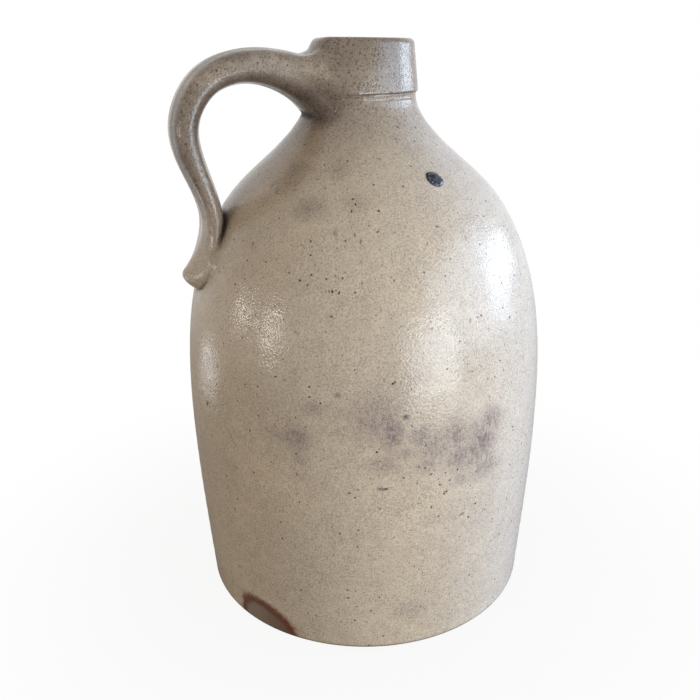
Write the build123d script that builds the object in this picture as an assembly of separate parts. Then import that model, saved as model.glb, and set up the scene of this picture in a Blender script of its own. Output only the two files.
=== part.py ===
from build123d import *
import os
from math import cos, exp, pi, radians, sin

# One-gallon stoneware jug, in millimetres. Z is the wheel's axis, the jug stands on z = 0 and its handle points
# along -X. Outlines are drawn as (radius, height) and turned about Z. Angles are in degrees.

# Whole jug, from the base to the rim.
JUG_HEIGHT = 279.4

# Body: stations of the outer wall, each a radius and a rise above the station below it. The belly's own height is
# what the stations above it leave of the whole height.
BASE_RADIUS = 85.7
BELLY_RADIUS = 91.0
SHOULDER_RADIUS = 83.6
SHOULDER_RISE = 65.0
CROWN_RADIUS = 63.2
CROWN_RISE = 40.0
NECK_ROOT_RADIUS = 31.7
NECK_ROOT_RISE = 30.0
NECK_RISE = 12.0
BASE_LEAN = 4.0
NECK_LEAN = 8.5
FOOT_ROUND = 4.0

# Body: thickness of the clay, the hollow's rounded corner and the straight passage under the collar, which is
# eased past the mouth's bore.
WALL = 8.0
FLOOR = 10.0
FLOOR_ROUND = 16.0
PASSAGE_LENGTH = 8.0
PASSAGE_EASE = 1.0

# Collar: the tooled band round the mouth, widest a little above its seat on the neck.
COLLAR_RADIUS = 27.0
COLLAR_HEIGHT = 27.4
COLLAR_STEP = 1.0
COLLAR_SWELL = 4.0
COLLAR_TAPER = 2.1
SWELL_ROUND = 3.0
LIP_ROUND = 3.2
MOUTH_RADIUS = 13.5

# Lining: the coat of brown slip inside.
LINING = 0.5

# Handle: a strap pulled to a taper, along a centre line that starts inside the collar, arches over, comes back
# at the waist and lies down along the shoulder.
STRAP_WIDTH = 27.5
STRAP_THICKNESS = 13.4
STRAP_TAPER = 2.6
STRAP_SQUARENESS = 2.5
ROOT_SINK = 12.0
ROOT_RISE = 1.0
ROOT_CLIMB = 33.0
ARCH_RUN = 27.0
ARCH_RISE = 15.6
BEND_REACH = 75.6
BEND_RISE = 7.6
BEND_FALL = 45.0
BACK_REACH = 84.4
BACK_DROP = 12.5
WAIST_DROP = 52.0
WAIST_STAND = 4.1
TAIL_DROP = 81.0

# Handle: how much thicker and wider it is where it was pressed on, and the length over which that fades.
ROOT_SWELL = 18.0
ROOT_SWELL_FADE = 20.0
ROOT_SPREAD = 14.0
ROOT_SPREAD_FADE = 16.0
TAIL_SWELL = 4.0
TAIL_SWELL_FADE = 12.0
TAIL_SPREAD = 10.0
TAIL_SPREAD_FADE = 25.0
TIP_NARROWING = 18.0
TIP_FADE = 7.0
TIP_ROUND = 2.5
STRAP_SECTIONS = 18
SECTION_POINTS = 12

# Kiln drop: a bead of dark glass that fell on the shoulder, at a bearing about Z from +X.
DROP_LENGTH = 9.5
DROP_WIDTH = 8.0
DROP_HEIGHT = 2.2
DROP_BELOW_SEAT = 31.8
DROP_BEARING = -71.4

# Heights and stations worked out from the sizes above.
RIM_Z = JUG_HEIGHT
SEAT_Z = RIM_Z - COLLAR_HEIGHT
NECK_ROOT_Z = SEAT_Z - NECK_RISE
CROWN_Z = NECK_ROOT_Z - NECK_ROOT_RISE
SHOULDER_Z = CROWN_Z - CROWN_RISE
BELLY_Z = SHOULDER_Z - SHOULDER_RISE
PASSAGE_Z = SEAT_Z - PASSAGE_LENGTH
PASSAGE_RADIUS = MOUTH_RADIUS + PASSAGE_EASE
NECK_RADIUS = COLLAR_RADIUS - COLLAR_STEP
FOOT = (BASE_RADIUS, 0)
SEAT = (NECK_RADIUS, SEAT_Z)
WALL_STATIONS = [
    (BELLY_RADIUS, BELLY_Z),
    (SHOULDER_RADIUS, SHOULDER_Z),
    (CROWN_RADIUS, CROWN_Z),
]
NECK_ROOT = (NECK_ROOT_RADIUS, NECK_ROOT_Z)


def leaning(angle):
    """Upward direction in an outline that leans away from the axis by an angle."""
    return (sin(radians(angle)), cos(radians(angle)))


OUTER_WALL = Spline(FOOT, *WALL_STATIONS, NECK_ROOT, SEAT, tangents=[leaning(BASE_LEAN), leaning(-NECK_LEAN)])


def wall_at(height):
    """Point of the outer wall at a height, its upward tangent and its outward normal, as (radius, height)."""
    low = 0.0
    high = 1.0
    for _ in range(50):
        middle = (low + high) / 2
        if (OUTER_WALL @ middle).Y < height:
            low = middle
        else:
            high = middle
    along = OUTER_WALL % low
    return OUTER_WALL @ low, along, Vector(along.Y, -along.X)


def rounded(outline, corner, radius):
    """Outline with the corner nearest a point rounded."""
    return fillet(outline.vertices().sort_by_distance(corner)[0], radius)


def turned(outline):
    """Solid made by turning a closed outline about the wheel's axis."""
    return revolve(Plane.XZ * outline, Axis.Z)


def vessel():
    """The body's outer shape, filled."""
    edges = [Line((0, 0), FOOT), OUTER_WALL, Line(SEAT, (0, SEAT_Z)), Line((0, SEAT_Z), (0, 0))]
    return turned(rounded(make_face(edges), FOOT, FOOT_ROUND))


def chamber(inset):
    """The hollow below the passage, its surface moved in by an inset, filled."""
    floor_z = FLOOR + inset
    foot, upward, _ = wall_at(floor_z)
    corner = (foot.X - WALL - inset, floor_z)
    points = []
    for _, height in WALL_STATIONS:
        point, _, outward = wall_at(height)
        points.append(point - outward * (WALL + inset))
    top = (PASSAGE_RADIUS - inset, PASSAGE_Z)
    edges = [
        Line((0, floor_z), corner),
        Spline(corner, *points, top, tangents=[upward, leaning(0)]),
        Line(top, (0, PASSAGE_Z)),
        Line((0, PASSAGE_Z), (0, floor_z)),
    ]
    return turned(rounded(make_face(edges), corner, FLOOR_ROUND - inset))


def plug(radius, bottom_z, top_z):
    """Round plug on the axis between two heights."""
    return Pos(0, 0, bottom_z) * Cylinder(radius, top_z - bottom_z, align=(Align.CENTER, Align.CENTER, Align.MIN))


def ring():
    """The collar's outer shape, filled."""
    swell = (COLLAR_RADIUS, SEAT_Z + COLLAR_SWELL)
    lip = (COLLAR_RADIUS - COLLAR_TAPER, RIM_Z)
    outline = make_face(Polyline((0, SEAT_Z), SEAT, swell, lip, (0, RIM_Z), close=True))
    outline = rounded(outline, swell, SWELL_ROUND)
    return turned(rounded(outline, lip, LIP_ROUND))


def make_body():
    """Thrown vessel: floor, wall, shoulder and neck."""
    return vessel() - chamber(0) - plug(PASSAGE_RADIUS, PASSAGE_Z, SEAT_Z)


def make_collar():
    """Tooled band seated on the neck, with a rounded lip and the mouth's bore."""
    band = ring() - plug(MOUTH_RADIUS, SEAT_Z, RIM_Z)
    inner_lip = band.edges().filter_by(GeomType.CIRCLE).group_by(Axis.Z)[-1].sort_by(SortBy.RADIUS)[0]
    return fillet(inner_lip, LIP_ROUND)


def make_slip_lining():
    """Coat of slip on the floor and wall of the hollow."""
    return chamber(0) - chamber(LINING)


def strap_path():
    """Centre line of the handle as (radius, height), from inside the collar to the tip of the tail."""
    root = (COLLAR_RADIUS - ROOT_SINK, SEAT_Z + ROOT_RISE)
    arch = (COLLAR_RADIUS + ARCH_RUN, SEAT_Z + ARCH_RISE)
    bend = (BEND_REACH, SEAT_Z + BEND_RISE)
    back = (BACK_REACH, SEAT_Z - BACK_DROP)
    waist, _, _ = wall_at(SEAT_Z - WAIST_DROP)
    tail, upward, _ = wall_at(SEAT_Z - TAIL_DROP)
    level = leaning(90)
    down = leaning(180)
    directions = [leaning(90 - ROOT_CLIMB), level, leaning(90 + BEND_FALL), down, down, upward * -1]
    return Spline(root, arch, bend, back, waist + (WAIST_STAND, 0), tail, tangents=directions)


def oval(turn, width, thickness):
    """Point of a squared-off oval, at an angle in radians."""
    across = abs(cos(turn)) ** (2 / STRAP_SQUARENESS)
    outward = abs(sin(turn)) ** (2 / STRAP_SQUARENESS)
    return (
        across * width / 2 if cos(turn) > 0 else -across * width / 2,
        outward * thickness / 2 if sin(turn) > 0 else -outward * thickness / 2,
    )


def strap_section(path, place):
    """Section of the strap square to its centre line, at a place from 0 to 1 along it."""
    from_root = path.length * place
    from_tip = path.length - from_root
    thickness = STRAP_THICKNESS - STRAP_TAPER * place
    thickness += ROOT_SWELL * exp(-from_root / ROOT_SWELL_FADE)
    thickness += TAIL_SWELL * exp(-from_tip / TAIL_SWELL_FADE)
    width = STRAP_WIDTH + ROOT_SPREAD * exp(-from_root / ROOT_SPREAD_FADE)
    width += TAIL_SPREAD * exp(-from_tip / TAIL_SPREAD_FADE) - TIP_NARROWING * exp(-from_tip / TIP_FADE)
    outline = [oval(2 * pi * step / SECTION_POINTS, width, thickness) for step in range(SECTION_POINTS)]
    centre = path @ place
    along = path % place
    plane = Plane(origin=(-centre.X, 0, centre.Y), x_dir=(0, 1, 0), z_dir=(-along.X, 0, along.Y))
    return plane * make_face(Spline(*outline, periodic=True))


def make_handle():
    """Pulled strap, its ends shaped to the collar, neck and shoulder that they were pressed on to."""
    path = strap_path()
    strap = loft([strap_section(path, step / (STRAP_SECTIONS - 1)) for step in range(STRAP_SECTIONS)])
    end = path @ 1
    tip = strap.faces().filter_by(GeomType.PLANE).sort_by_distance((-end.X, 0, end.Y))[0]
    return fillet(tip.edges(), TIP_ROUND) - vessel() - ring()


def make_kiln_drop():
    """Bead of glass lying on the shoulder."""
    point, along, outward = wall_at(SEAT_Z - DROP_BELOW_SEAT)
    bead = scale(Sphere(DROP_LENGTH / 2), by=(1, DROP_WIDTH / DROP_LENGTH, 2 * DROP_HEIGHT / DROP_LENGTH))
    seat = Plane(origin=(point.X, 0, point.Y), x_dir=(along.X, 0, along.Y), z_dir=(outward.X, 0, outward.Y))
    return Rot(0, 0, DROP_BEARING) * (seat * bead) - vessel()


def main():
    """Make every piece and write it to its own file."""
    pieces = {
        "body": make_body(),
        "collar": make_collar(),
        "handle": make_handle(),
        "slip_lining": make_slip_lining(),
        "kiln_drop": make_kiln_drop(),
    }
    os.makedirs("parts", exist_ok=True)
    for name, piece in pieces.items():
        solid = piece.solid()
        solid.label = name
        export_step(solid, f"parts/{name}.step")


if __name__ == "__main__":
    main()
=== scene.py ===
"""Looks of a salt-glazed stoneware jug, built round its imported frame.

Sizes are in millimetres and angles in degrees, in the part's own frame: Z is the wheel's axis, the jug stands
on z = 0 and its handle points along -X. A bearing is measured about Z from -Y towards +X. Meshes are in
metres.
"""

import logging
from dataclasses import dataclass, field
from enum import Enum
from functools import reduce
from math import cos, pi, radians, sin
from typing import Callable, ClassVar

import bpy
import numpy as np
from mathutils import Matrix, Vector


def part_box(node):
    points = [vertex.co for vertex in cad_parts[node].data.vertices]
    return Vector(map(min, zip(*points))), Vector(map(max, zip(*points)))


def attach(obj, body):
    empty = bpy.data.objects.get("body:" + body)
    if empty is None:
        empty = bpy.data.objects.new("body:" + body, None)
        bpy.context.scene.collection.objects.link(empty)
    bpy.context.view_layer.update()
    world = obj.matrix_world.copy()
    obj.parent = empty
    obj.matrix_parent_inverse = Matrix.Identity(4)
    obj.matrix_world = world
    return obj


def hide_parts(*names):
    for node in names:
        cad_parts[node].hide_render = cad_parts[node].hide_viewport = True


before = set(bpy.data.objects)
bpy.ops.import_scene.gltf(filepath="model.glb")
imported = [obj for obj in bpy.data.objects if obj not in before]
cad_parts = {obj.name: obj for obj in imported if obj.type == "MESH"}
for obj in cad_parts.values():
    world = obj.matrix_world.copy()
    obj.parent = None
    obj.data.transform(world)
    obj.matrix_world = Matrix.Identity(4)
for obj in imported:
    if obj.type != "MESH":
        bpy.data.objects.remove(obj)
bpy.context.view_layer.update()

Array = np.ndarray
Colour = tuple[float, float, float]
MM = 0.001
BODY = "root"
log = logging.getLogger("jug")


class Slot(Enum):
    """The record's material slots."""

    SALT_GLAZE = "salt_glaze"
    BROWN_SLIP = "brown_slip"
    KILN_GLASS = "kiln_glass"


# Small tools for shapes.


def top_of(node: str) -> float:
    """Height of a node's highest point, in millimetres."""
    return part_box(node)[1].z / MM


def smooth(values: Array, low: float, high: float) -> Array:
    """Rise from 0 at low to 1 at high, level at both ends."""
    share = np.clip((values - low) / (high - low), 0.0, 1.0)
    return share * share * (3.0 - 2.0 * share)


def leaning(angle: float) -> Array:
    """Direction in the (radius, height) plane that leans out from straight up by an angle."""
    return np.array([sin(radians(angle)), cos(radians(angle))])


def even_slopes(stations: Array, first: Array, last: Array) -> Array:
    """Slopes that carry a line through its stations with an even curvature.

    Args:
        stations: points in the (radius, height) plane.
        first: unit direction at the first station.
        last: unit direction at the last station.

    Returns:
        One slope for each station, per millimetre of chord.
    """
    gaps = np.linalg.norm(np.diff(stations, axis=0), axis=1)
    count = len(stations)
    matrix = np.eye(count)
    wanted = np.zeros((count, 2))
    wanted[0] = first
    wanted[-1] = last
    steps = np.diff(stations, axis=0) / gaps[:, None]
    for i in range(1, count - 1):
        matrix[i, i - 1] = gaps[i]
        matrix[i, i] = 2.0 * (gaps[i - 1] + gaps[i])
        matrix[i, i + 1] = gaps[i - 1]
        wanted[i] = 3.0 * (gaps[i] * steps[i - 1] + gaps[i - 1] * steps[i])
    return np.linalg.solve(matrix, wanted)


def drawn(stations: Array, slopes: Array, count: int = 1600) -> Array:
    """Close points of the line that passes through stations with given slopes.

    Args:
        stations: points in the (radius, height) plane.
        slopes: direction of the line at each station, per millimetre of chord.
        count: how many points to return.

    Returns:
        Points of the line, first station to last.
    """
    knots = np.concatenate([[0.0], np.cumsum(np.linalg.norm(np.diff(stations, axis=0), axis=1))])
    places = np.linspace(0.0, knots[-1], count)
    span = np.clip(np.searchsorted(knots, places, side="right") - 1, 0, len(stations) - 2)
    gap = (knots[span + 1] - knots[span])[:, None]
    t = (places - knots[span])[:, None] / gap
    start = (1.0 + 2.0 * t) * (1.0 - t) ** 2 * stations[span] + t * (1.0 - t) ** 2 * gap * slopes[span]
    end = t * t * (3.0 - 2.0 * t) * stations[span + 1] + t * t * (t - 1.0) * gap * slopes[span + 1]
    return start + end


def lengths_along(points: Array) -> Array:
    """Length of a line from its first point to each of its points."""
    return np.concatenate([[0.0], np.cumsum(np.linalg.norm(np.diff(points, axis=0), axis=1))])


def spaced(points: Array, spacing: Callable[[Array], Array]) -> Array:
    """Points of a line set apart by a spacing that may change along it.

    Args:
        points: the line, as close points.
        spacing: gives the wanted spacing at each of an array of points.

    Returns:
        The new points, with both ends kept.
    """
    steps = np.diff(lengths_along(points)) / spacing(0.5 * (points[1:] + points[:-1]))
    count = np.concatenate([[0.0], np.cumsum(steps)])
    wanted = np.linspace(0.0, count[-1], int(np.ceil(count[-1])) + 1)
    return np.stack([np.interp(wanted, count, points[:, axis]) for axis in (0, 1)], axis=1)


def evenly(points: Array, gap: float) -> Array:
    """Points of a line set apart by one gap, with both ends kept."""
    return spaced(points, lambda places: np.full(len(places), gap))


def directions_of(line: Array) -> Array:
    """Unit direction of a line at each of its points."""
    steps = np.gradient(line, axis=0)
    return steps / np.linalg.norm(steps, axis=1, keepdims=True)


def arc(centre: tuple[float, float], radius: float, start: float, end: float, count: int = 24) -> Array:
    """Points of an arc in the (radius, height) plane, between two angles from the radius axis."""
    angles = np.radians(np.linspace(start, end, count))
    return np.stack([centre[0] + radius * np.cos(angles), centre[1] + radius * np.sin(angles)], axis=1)


def normals_of(grid: Array) -> Array:
    """Unit normals of a grid of points whose columns run round and whose rows don't close.

    Args:
        grid: points as rows, columns and XYZ.

    Returns:
        One normal for each point, in the grid's own shape.
    """
    down = np.gradient(grid, axis=0)
    across = np.roll(grid, -1, axis=1) - np.roll(grid, 1, axis=1)
    normal = np.cross(across, down)
    return normal / np.maximum(np.linalg.norm(normal, axis=2, keepdims=True), 1e-9)


def skin(name: str, grid: Array, loop: bool = False) -> bpy.types.Object:
    """Closed mesh over a grid of points whose columns run round.

    Args:
        name: the object's name.
        grid: points as rows, columns and XYZ, in millimetres.
        loop: whether the last row joins the first; otherwise each end is closed by a fan of faces.

    Returns:
        The new object, shaded smooth, its faces outward.
    """
    rows, columns, _ = grid.shape
    points = grid.reshape(-1, 3)
    index = np.arange(rows * columns).reshape(rows, columns)
    upper = np.roll(index, -1, axis=0) if loop else index[1:]
    lower = index if loop else index[:-1]
    beside = [np.roll(row, -1, axis=1) for row in (lower, upper)]
    quads = np.stack([lower, beside[0], beside[1], upper], axis=-1).reshape(-1, 4)
    faces = quads.tolist()
    if not loop:
        points = np.concatenate([points, grid[0].mean(axis=0)[None], grid[-1].mean(axis=0)[None]])
        first, last = rows * columns, rows * columns + 1
        faces += [[first, b, a] for a, b in zip(index[0].tolist(), np.roll(index[0], -1).tolist())]
        faces += [[last, a, b] for a, b in zip(index[-1].tolist(), np.roll(index[-1], -1).tolist())]
    corners = points[quads]
    volume = np.einsum("ij,ij->i", corners[:, 0], np.cross(corners[:, 1], corners[:, 2]))
    volume += np.einsum("ij,ij->i", corners[:, 0], np.cross(corners[:, 2], corners[:, 3]))
    if volume.sum() < 0.0:
        faces = [face[::-1] for face in faces]
    mesh = bpy.data.meshes.new(name)
    mesh.from_pydata((points * MM).tolist(), [], faces)
    mesh.polygons.foreach_set("use_smooth", np.ones(len(mesh.polygons), dtype=bool))
    mesh.update()
    made = bpy.data.objects.new(name, mesh)
    bpy.context.scene.collection.objects.link(made)
    return made


def mark_points(piece: bpy.types.Object, name: str, values: Array) -> None:
    """Store one number for each point of a piece, for its finish to read.

    Args:
        piece: the object.
        name: what the finish asks for.
        values: the numbers; points past their end get 0.
    """
    padded = np.zeros(len(piece.data.vertices), dtype=np.float32)
    padded[: values.size] = values.ravel()
    piece.data.attributes.new(name, "FLOAT", "POINT").data.foreach_set("value", padded)


@dataclass
class Chart:
    """Numbers measured once over an even grid of the (radius, height) plane and read between its points."""

    measure: Callable[[Array], Array]
    low: tuple[float, float]
    high: tuple[float, float]
    step: float = 0.5
    values: Array = field(init=False)

    def __post_init__(self) -> None:
        """Measure every point of the grid, a row at a time."""
        radii = np.arange(self.low[0], self.high[0] + self.step, self.step)
        heights = np.arange(self.low[1], self.high[1] + self.step, self.step)
        rows = [self.measure(np.stack([np.full(len(heights), radius), heights], axis=1)) for radius in radii]
        self.values = np.array(rows)

    def read(self, flat: Array) -> Array:
        """Read the chart between its points.

        Args:
            flat: (radius, height) points.

        Returns:
            The numbers, one row for each point; points off the grid take its border's.
        """
        most = np.array(self.values.shape[:2]) - 1.001
        place = np.clip((flat - np.array(self.low)) / self.step, 0.0, most)
        i, j = place.astype(int).T
        u, v = (place - place.astype(int)).T[..., None]
        lower = (1.0 - v) * self.values[i, j] + v * self.values[i, j + 1]
        upper = (1.0 - v) * self.values[i + 1, j] + v * self.values[i + 1, j + 1]
        return (1.0 - u) * lower + u * upper


# The two forms that the jug's clay follows.


@dataclass
class PotForm:
    """Outer shape of the turned body and collar, close to the CAD's, with its small unevenness.

    Wall stations are (radius, height); the seat is where the collar begins.
    """

    seat: float = top_of("body")
    rim: float = top_of("collar")
    base_radius: float = 85.7
    belly: tuple[float, float] = (91.0, 105.0)
    shoulder: tuple[float, float] = (83.6, 170.0)
    crown: tuple[float, float] = (63.2, 210.0)
    neck_root: tuple[float, float] = (32.0, 240.0)
    neck_radius: float = 26.0
    base_lean: float = 4.0
    neck_lean: float = 8.5
    foot_round: float = 4.0
    collar_radius: float = 27.0
    collar_taper: float = 2.1
    band_rise: float = 3.8
    band_round: float = 0.8
    lip_round: float = 2.6
    mouth_radius: float = 13.5
    line_rise: float = 1.5
    line_depth: float = 0.25
    line_half: float = 0.35
    rim_fall: float = 1.5
    lip_press: float = 2.5
    lip_press_drop: float = 8.5
    lip_press_fall: float = 0.5
    lip_press_bearing: float = -112.0
    oval: float = 0.12
    unevenness: float = 0.16
    ring_depth: float = 0.1
    ring_pitch: float = 8.5
    outline_low: float = 100.0
    chart_low: tuple[float, float] = (0.0, 130.0)
    chart_high: tuple[float, float] = (140.0, 305.0)
    chart: Chart = field(init=False)

    def __post_init__(self) -> None:
        """Measure the distance from the outside once."""
        self.chart = Chart(self.chart_distance, self.chart_low, self.chart_high)

    def wall(self) -> Array:
        """Draw the outer wall.

        Returns:
            Close points from the base's edge to the seat.
        """
        foot = (self.base_radius, 0.0)
        seat = (self.neck_radius, self.seat)
        stations = np.array([foot, self.belly, self.shoulder, self.crown, self.neck_root, seat])
        return drawn(stations, even_slopes(stations, leaning(self.base_lean), leaning(-self.neck_lean)))

    def wall_at(self, height: float) -> tuple[Array, Array]:
        """Find a place on the wall.

        Args:
            height: the height wanted.

        Returns:
            The wall's point at that height and its upward direction.
        """
        wall = self.wall()
        i = int(np.searchsorted(wall[:, 1], height))
        along = wall[i] - wall[i - 1]
        share = (height - wall[i - 1, 1]) / along[1]
        return wall[i - 1] + share * along, along / np.linalg.norm(along)

    def collar(self) -> Array:
        """Draw the collar's outside.

        Returns:
            Close points from its seat to the flat of the rim.
        """
        lip_radius = self.collar_radius - self.collar_taper
        lean = np.degrees(np.arctan2(self.collar_taper, self.rim - self.seat - self.band_rise))
        lip_centre = lip_radius - self.lip_round * (1.0 - sin(radians(lean))) / cos(radians(lean))
        edge_centre = (self.collar_radius - self.band_round, self.seat + self.band_rise)
        edge = arc(edge_centre, self.band_round, -90.0, lean, 10)
        lip = arc((lip_centre, self.rim - self.lip_round), self.lip_round, lean, 90.0)
        return np.concatenate([[[self.neck_radius, self.seat]], edge, lip])

    def outline(self) -> Array:
        """Draw the outside of body and collar together.

        Returns:
            Points from the belly up to the middle of the mouth.
        """
        wall = evenly(self.wall(), 1.0)
        above = wall[wall[:, 1] > self.outline_low]
        return np.concatenate([above, self.collar()[1:], [[0.0, self.rim]]])

    def chart_distance(self, flat: Array) -> Array:
        """Measure the distance from the outside.

        Args:
            flat: (radius, height) points.

        Returns:
            One distance in each row, negative within the clay or the hollow.
        """
        line = self.outline()
        step = np.diff(line, axis=0)
        lengths = np.maximum(np.einsum("ij,ij->i", step, step), 1e-9)
        offset = flat[:, None] - line[None, :-1]
        share = np.clip(np.einsum("ijk,jk->ij", offset, step) / lengths, 0.0, 1.0)
        away = np.linalg.norm(offset - share[..., None] * step, axis=2).min(axis=1)
        within = (flat[:, 1] < self.rim) & (flat[:, 0] < np.interp(flat[:, 1], line[:, 1], line[:, 0]))
        return np.where(within, -away, away)[:, None]

    def distance(self, points: Array) -> Array:
        """Distance of points from the outside, negative within the clay or the hollow."""
        flat = np.stack([np.hypot(points[:, 0], points[:, 1]), points[:, 2]], axis=1)
        return self.chart.read(flat)[:, 0]

    def unevenly(self, grid: Array) -> Array:
        """Grid of points drawn in a little, as a wheel and a hand leave a pot.

        Args:
            grid: points of the outside, as rows, columns and XYZ.

        Returns:
            The points moved towards the axis, and lowered on the side of the rim that sank.
        """
        x, y, z = grid[..., 0], grid[..., 1], grid[..., 2]
        radius = np.hypot(x, y)
        turn = np.arctan2(y, x)
        oval = self.oval * (0.5 + 0.5 * np.sin(2.0 * turn - 0.9))
        lumps = np.sin(3.0 * turn + z / 31.0 + 1.3) * np.sin(z / 23.0 - 2.0 * turn + 0.4)
        lumps += 0.6 * np.sin(7.0 * turn - z / 17.0 + 2.2) * np.sin(z / 13.0 + 4.0 * turn)
        rings = 0.5 + 0.5 * np.sin(2.0 * pi * z / self.ring_pitch + turn)
        rings *= 0.35 + 0.65 * smooth(np.sin(z / 37.0 + 0.8), -0.3, 0.8)
        inward = oval + self.unevenness * (0.5 + 0.3 * lumps) + self.ring_depth * rings
        inward *= smooth(z, 0.0, 12.0) * smooth(radius, self.mouth_radius + 3.0, self.mouth_radius + 8.0)
        inward *= 1.0 - 0.6 * smooth(z, self.seat - 20.0, self.seat)
        facing = np.cos(turn + 0.5 * pi - radians(self.lip_press_bearing))
        pressed = smooth(z, self.rim - self.lip_press_drop, self.rim) * smooth(facing, 0.55, 0.95)
        pressed *= smooth(radius, self.mouth_radius + 4.0, self.mouth_radius + 9.0)
        inward += self.lip_press * pressed
        share = 1.0 - inward / np.maximum(radius, 1.0)
        fall = self.rim_fall * smooth(z, self.seat, self.rim) * (0.5 + 0.5 * x / self.collar_radius)
        fall += self.lip_press_fall * pressed
        return np.stack([x * share, y * share, z - np.maximum(fall, 0.0)], axis=-1)


@dataclass
class StrapForm:
    """The handle's pulled strap: its centre line as (radius, height), its sections and its pressed ends."""

    pot: PotForm
    width: float = 27.5
    thickness: float = 13.4
    taper: float = 1.2
    waist_thinning: float = 3.5
    squareness: float = 2.5
    tail_thinning: float = 1.15
    root_sink: float = 12.0
    root_rise: float = 1.0
    root_climb: float = 33.0
    arch_run: float = 27.0
    arch_rise: float = 15.6
    bend: tuple[float, float] = (75.6, 7.6)
    bend_fall: float = 45.0
    back: tuple[float, float] = (84.4, -12.5)
    waist_drop: float = 52.0
    waist_stand: float = 4.4
    tail_drop: float = 84.8
    root_swell: float = 18.0
    root_swell_fade: float = 20.0
    root_spread: float = 14.0
    root_spread_fade: float = 16.0
    tail_swell: float = 18.0
    tail_swell_fade: float = 8.5
    tail_spread: float = 8.0
    tail_spread_fade: float = 25.0
    nose: float = 7.0
    tongue: float = 16.0
    wipe_root: float = 14.0
    wipe_top: float = 5.5
    wipe_tail: float = 6.0
    wipe_under: float = 1.0
    least_width: float = 0.3
    least_thickness: float = 0.2
    line_step: float = 0.5
    chart_low: tuple[float, float] = (-40.0, 130.0)
    chart_high: tuple[float, float] = (130.0, 305.0)
    line: Array = field(init=False)
    along: Array = field(init=False)
    directions: Array = field(init=False)
    chart: Chart = field(init=False)

    def __post_init__(self) -> None:
        """Draw the centre line and measure the places round it once."""
        seat = self.pot.seat
        waist, _ = self.pot.wall_at(seat - self.waist_drop)
        tail, upward = self.pot.wall_at(seat - self.tail_drop)
        stations = np.array(
            [
                (self.pot.collar_radius - self.root_sink, seat + self.root_rise),
                (self.pot.collar_radius + self.arch_run, seat + self.arch_rise),
                (self.bend[0], seat + self.bend[1]),
                (self.back[0], seat + self.back[1]),
                (waist[0] + self.waist_stand, waist[1]),
                tail,
            ]
        )
        down = leaning(180.0)
        root = leaning(90.0 - self.root_climb)
        slopes = np.array([root, leaning(90.0), leaning(90.0 + self.bend_fall), down, down, -upward])
        self.line = evenly(drawn(stations, slopes), self.line_step)
        self.along = lengths_along(self.line)
        self.directions = directions_of(self.line)
        self.chart = Chart(self.chart_place, self.chart_low, self.chart_high)

    def halves(self, along: Array) -> tuple[Array, Array]:
        """Size of the strap's section.

        Args:
            along: lengths along the strap.

        Returns:
            Half the width and half the thickness at each length.
        """
        length = self.along[-1]
        from_tip = length - along
        thickness = self.thickness - self.taper * along / length
        thickness = thickness - self.waist_thinning * smooth(along / length, 0.5, 0.85)
        thickness = thickness + self.root_swell * np.exp(-along / self.root_swell_fade)
        thickness = thickness + self.tail_swell * np.exp(-from_tip / self.tail_swell_fade)
        width = self.width + self.root_spread * np.exp(-along / self.root_spread_fade)
        width = width + self.tail_spread * np.exp(-from_tip / self.tail_spread_fade)
        nose = np.clip(1.0 - from_tip / self.nose, 0.0, 1.0)
        tongue = np.clip(1.0 - from_tip / self.tongue, 0.0, 1.0)
        half_width = 0.5 * width * (1.0 - tongue**2.0) ** 0.5 + self.least_width
        half_thickness = 0.5 * thickness * (1.0 - nose**1.7) ** 0.9 + self.least_thickness
        return half_width, half_thickness

    def power(self, along: Array) -> Array:
        """Power of the squared-off oval at lengths along the strap: lower, so thin-edged, at the tail."""
        return self.squareness - self.tail_thinning * smooth(along / self.along[-1], 0.78, 0.93)

    def chart_place(self, flat: Array) -> Array:
        """Find the nearest place on the strap's centre line.

        Args:
            flat: (radius, height) points.

        Returns:
            Length along the strap, height outward from its centre line and length past its ends, in each row.
        """
        nearest = ((flat[:, None] - self.line[None]) ** 2).sum(axis=2).argmin(axis=1)
        offset = flat - self.line[nearest]
        ahead = self.directions[nearest]
        forward = np.einsum("ij,ij->i", offset, ahead)
        outward = offset[:, 1] * ahead[:, 0] - offset[:, 0] * ahead[:, 1]
        reached = self.along[nearest] + forward
        along = np.clip(reached, 0.0, self.along[-1])
        return np.stack([along, outward, np.abs(reached - along)], axis=1)

    def local(self, points: Array) -> tuple[Array, Array, Array, Array]:
        """Place of points in the strap's own directions.

        Args:
            points: XYZ points.

        Returns:
            Length along the strap, height outward from its centre line, place across, length past its ends.
        """
        along, outward, past = self.chart.read(np.stack([-points[:, 0], points[:, 2]], axis=1)).T
        return along, outward, points[:, 1], past

    def distance(self, points: Array) -> Array:
        """Measure the distance from the strap's surface.

        Args:
            points: XYZ points.

        Returns:
            The distances, negative within the strap.
        """
        along, outward, across, past = self.local(points)
        half_width, half_thickness = self.halves(along)
        power = self.power(along)
        u = np.abs(across) / half_width
        v = np.abs(outward) / half_thickness
        level = np.maximum(u**power + v**power, 1e-6) ** (1.0 / power)
        slopes = (u / level) ** (power - 1.0) / half_width, (v / level) ** (power - 1.0) / half_thickness
        steep = np.hypot(*slopes)
        away = np.maximum((level - 1.0) / np.maximum(steep, 1e-6), -half_thickness)
        return np.where(past > 0.0, np.hypot(np.maximum(away, 0.0), past), away)

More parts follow.
